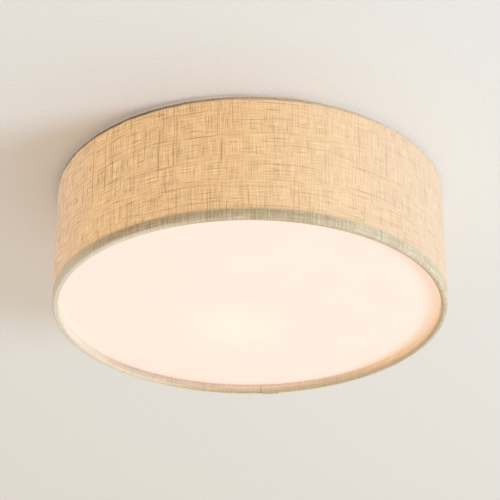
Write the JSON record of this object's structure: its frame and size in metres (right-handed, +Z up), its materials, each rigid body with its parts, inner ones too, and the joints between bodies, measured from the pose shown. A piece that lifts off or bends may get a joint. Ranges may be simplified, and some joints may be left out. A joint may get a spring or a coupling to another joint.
{
  "type": "flush mount ceiling light",
  "caption": "Round drum ceiling light: linen shade on wire rings, opal diffuser resting in its hem, steel pan with horizontal screw lamps, held by a strap and thumb nuts.",
  "frame": {"origin": "centre of the mounting strap's upper face, on the ceiling plane, midway between the ceiling screw slots", "axes": "+Z up into the ceiling, square to the ceiling plane; +X along the mounting strap; the whole light hangs below Z = 0"},
  "size_m": [0.3799, 0.38, 0.13],
  "materials": {
    "linen": "laminated natural linen",
    "shade_liner": "translucent laminating sheet",
    "ring_steel": "white epoxy coat",
    "opal_acrylic": "opal, satin",
    "white_steel": "white powder coat",
    "zinc_steel": "bright zinc plate",
    "nickel": "nickel plate",
    "rubber": "matt",
    "brass": "machined",
    "nylon": "moulded nylon",
    "live_sleeve": "brown sleeve",
    "neutral_sleeve": "blue sleeve",
    "ceramic": "glazed ceramic",
    "bulb_plastic": "moulded, satin",
    "bulb_opal": "opal",
    "bulb_black": "black vitrite",
    "solder": "tinned",
    "led_board": "white board with yellow chips"
  },
  "bodies": {
    "mount": {"ceiling_pan": "white_steel", "mounting_strap": "zinc_steel", "strap_screws": "zinc_steel", "pan_nuts": "nickel", "shade_studs": "zinc_steel", "cable_grommet": "rubber", "earth_terminal": "brass", "bracket_rivets": "zinc_steel", "lampholder_screws": "zinc_steel", "lampholder_clamp_screws": "brass", "terminal_block": "nylon", "terminal_inserts": "brass", "terminal_screws": "zinc_steel", "terminal_block_screw": "zinc_steel", "live_lead_1": "live_sleeve", "neutral_lead_1": "neutral_sleeve", "live_lead_2": "live_sleeve", "neutral_lead_2": "neutral_sleeve", "lead_clips": "nylon", "lampholder_1": "ceramic", "lampholder_2": "ceramic", "lampholder_shell_1": "brass", "lampholder_shell_2": "brass", "lampholder_contact_1": "brass", "lampholder_contact_2": "brass", "lampholder_bracket_1": "zinc_steel", "lampholder_bracket_2": "zinc_steel"},
    "shade": {"shade_fabric": "linen", "shade_liner": "shade_liner", "upper_ring_frame": "ring_steel", "lower_ring": "ring_steel"},
    "diffuser": {"diffuser": "opal_acrylic"},
    "thumb_nut_1": {"thumb_nut_1": "nickel"},
    "thumb_nut_2": {"thumb_nut_2": "nickel"},
    "thumb_nut_3": {"thumb_nut_3": "nickel"},
    "bulb_1": {"bulb_globe_1": "bulb_opal", "bulb_body_1": "bulb_plastic", "bulb_cap_1": "nickel", "bulb_insulator_1": "bulb_black", "bulb_contact_1": "solder", "bulb_led_board_1": "led_board"},
    "bulb_2": {"bulb_globe_2": "bulb_opal", "bulb_body_2": "bulb_plastic", "bulb_cap_2": "nickel", "bulb_insulator_2": "bulb_black", "bulb_contact_2": "solder", "bulb_led_board_2": "led_board"}
  },
  "joints": [
    {"name": "shade_lower", "type": "slide", "parent": "mount", "child": "shade", "axis": [0, 0, -1], "range_m": [0, 0.15]},
    {"name": "diffuser_lift", "type": "slide", "parent": "shade", "child": "diffuser", "axis": [0, 0, 1], "range_m": [0, 0.028]},
    {"name": "thumb_nut_1_turn", "type": "hinge", "parent": "shade", "child": "thumb_nut_1", "pos_m": [0.134, 0, -0.0218], "axis": [0, 0, -1], "continuous": true},
    {"name": "thumb_nut_2_turn", "type": "hinge", "parent": "shade", "child": "thumb_nut_2", "pos_m": [-0.067, 0.11605, -0.0218], "axis": [0, 0, -1], "continuous": true},
    {"name": "thumb_nut_3_turn", "type": "hinge", "parent": "shade", "child": "thumb_nut_3", "pos_m": [-0.067, -0.11605, -0.0218], "axis": [0, 0, -1], "continuous": true},
    {"name": "bulb_1_turn", "type": "hinge", "parent": "mount", "child": "bulb_1", "pos_m": [-0.04, -0.065, -0.057], "axis": [1, 0, 0], "range_deg": [0, 1620]},
    {"name": "bulb_2_turn", "type": "hinge", "parent": "mount", "child": "bulb_2", "pos_m": [0.04, 0.065, -0.057], "axis": [-1, 0, 0], "range_deg": [0, 1620]}
  ]
}
